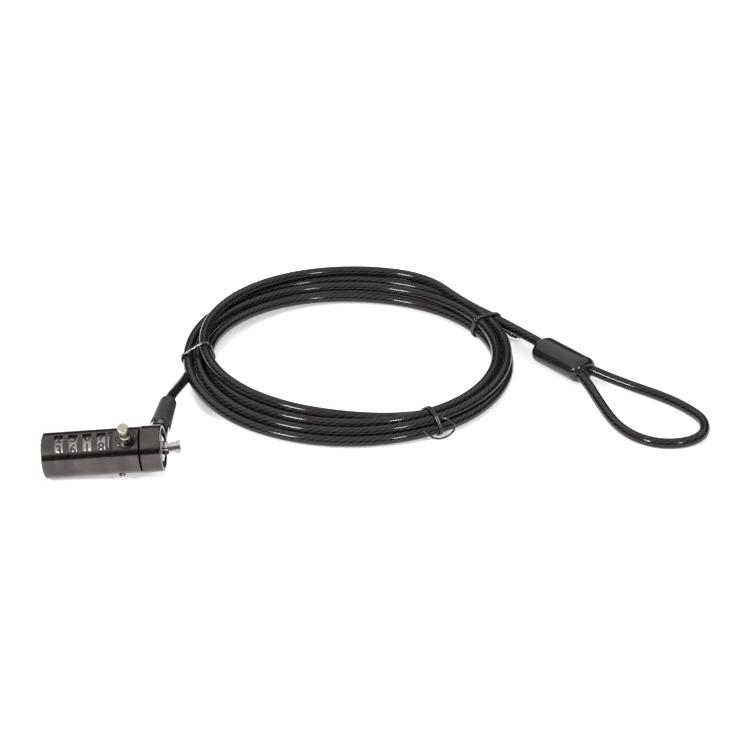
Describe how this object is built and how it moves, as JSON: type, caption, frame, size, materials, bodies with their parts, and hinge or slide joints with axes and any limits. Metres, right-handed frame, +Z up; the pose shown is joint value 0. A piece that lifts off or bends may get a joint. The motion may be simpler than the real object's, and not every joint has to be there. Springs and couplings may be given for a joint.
{
  "type": "laptop cable lock",
  "caption": "Barrel combination lock for a notebook's security slot, with dial windows, a push button that closes two nose prongs, and a swivel collar on a coiled steel cable with an end loop.",
  "frame": {"origin": "on the surface the lock lies on, under the middle of the lock barrel, collar and prongs (the cable left out)", "axes": "+X along the lock barrel towards its prongs, +Z up, +Y back towards the coiled cable"},
  "size_m": [0.2705, 0.1801, 0.0295],
  "materials": {
    "black_nickel": "glossy dark plating",
    "dial_silver": "satin",
    "brass_parts": "machined",
    "steel_parts": "machined",
    "bright_steel": "bright plating",
    "button_satin": "satin champagne",
    "sleeve_rubber": "satin",
    "cable_vinyl": "glossy smoke vinyl over steel rope",
    "cover_gloss": "glossy",
    "crimp_alloy": "drawn",
    "tie_wire": "glossy coated wire"
  },
  "bodies": {
    "cable_side": {"swivel_collar": "black_nickel", "cable_socket": "bright_steel", "cable_sleeve": "sleeve_rubber", "cable_lead": "cable_vinyl", "cable_coil": "cable_vinyl", "cable_tail": "cable_vinyl", "cable_eye_loop": "cable_vinyl", "ferrule_cover": "cover_gloss", "crimp_ferrule": "crimp_alloy", "tie_left": "tie_wire", "tie_back": "tie_wire", "tie_front": "tie_wire"},
    "head": {"housing": "black_nickel", "end_cap": "black_nickel", "button_bezel": "black_nickel", "nose_guide": "bright_steel", "front_washer": "bright_steel", "retaining_ring": "steel_parts", "detent_washers": "steel_parts", "disc_spring": "steel_parts", "spring_seat": "steel_parts", "spindle_spring": "steel_parts", "button_spring": "steel_parts", "jaw_pin": "steel_parts"},
    "dial_1_body": {"dial_1": "dial_silver", "code_hub_1": "brass_parts"},
    "dial_2_body": {"dial_2": "dial_silver", "code_hub_2": "brass_parts"},
    "dial_3_body": {"dial_3": "dial_silver", "code_hub_3": "brass_parts"},
    "dial_4_body": {"dial_4": "dial_silver", "code_hub_4": "brass_parts"},
    "button": {"push_button": "button_satin"},
    "spindle_body": {"spindle": "steel_parts", "drive_pin": "steel_parts"},
    "upper_jaw_body": {"jaw_upper": "bright_steel"},
    "lower_jaw_body": {"jaw_lower": "bright_steel"},
    "reset_body": {"reset_screw": "black_nickel"}
  },
  "joints": [
    {"name": "head_swivel", "type": "hinge", "parent": "cable_side", "child": "head", "pos_m": [0.01616, -0.0018, 0.01386], "axis": [0.9945, 0, 0.1045], "continuous": true},
    {"name": "dial_1_turn", "type": "hinge", "parent": "head", "child": "dial_1_body", "pos_m": [-0.01994, -0.0018, 0.01006], "axis": [0.9945, 0, 0.1045], "continuous": true},
    {"name": "dial_2_turn", "type": "hinge", "parent": "head", "child": "dial_2_body", "pos_m": [-0.01422, -0.0018, 0.01066], "axis": [0.9945, 0, 0.1045], "continuous": true},
    {"name": "dial_3_turn", "type": "hinge", "parent": "head", "child": "dial_3_body", "pos_m": [-0.0085, -0.0018, 0.01127], "axis": [0.9945, 0, 0.1045], "continuous": true},
    {"name": "dial_4_turn", "type": "hinge", "parent": "head", "child": "dial_4_body", "pos_m": [-0.00278, -0.0018, 0.01187], "axis": [0.9945, 0, 0.1045], "continuous": true},
    {"name": "button_press", "type": "slide", "parent": "head", "child": "button", "axis": [-0.0896, -0.515, 0.8525], "range_m": [-0.0022, 0], "stiffness_N_per_m": 400, "springref_m": 0.0015, "deforming": ["button_spring"]},
    {"name": "spindle_slide", "type": "slide", "parent": "head", "child": "spindle_body", "axis": [0.9945, 0, 0.1045], "range_m": [-0.0022, 0], "deforming": ["spindle_spring"]},
    {"name": "jaw_upper_swing", "type": "hinge", "parent": "head", "child": "upper_jaw_body", "pos_m": [0.01815, -0.0018, 0.01407], "axis": [-0.0896, -0.515, 0.8525], "range_deg": [-5.6, 0]},
    {"name": "jaw_lower_swing", "type": "hinge", "parent": "head", "child": "lower_jaw_body", "pos_m": [0.01815, -0.0018, 0.01407], "axis": [0.0896, 0.515, -0.8525], "range_deg": [-5.6, 0]},
    {"name": "reset_turn", "type": "hinge", "parent": "head", "child": "reset_body", "pos_m": [0.00426, -0.00534, 0.00654], "axis": [0.0902, -0.506, -0.8578], "range_deg": [0, 90]}
  ],
  "couplings": [
    {"joint": "spindle_slide", "follows": "button_press", "ratio": 1},
    {"joint": "jaw_upper_swing", "follows": "button_press", "rad_per_m": 43.633},
    {"joint": "jaw_lower_swing", "follows": "button_press", "rad_per_m": 43.633}
  ]
}
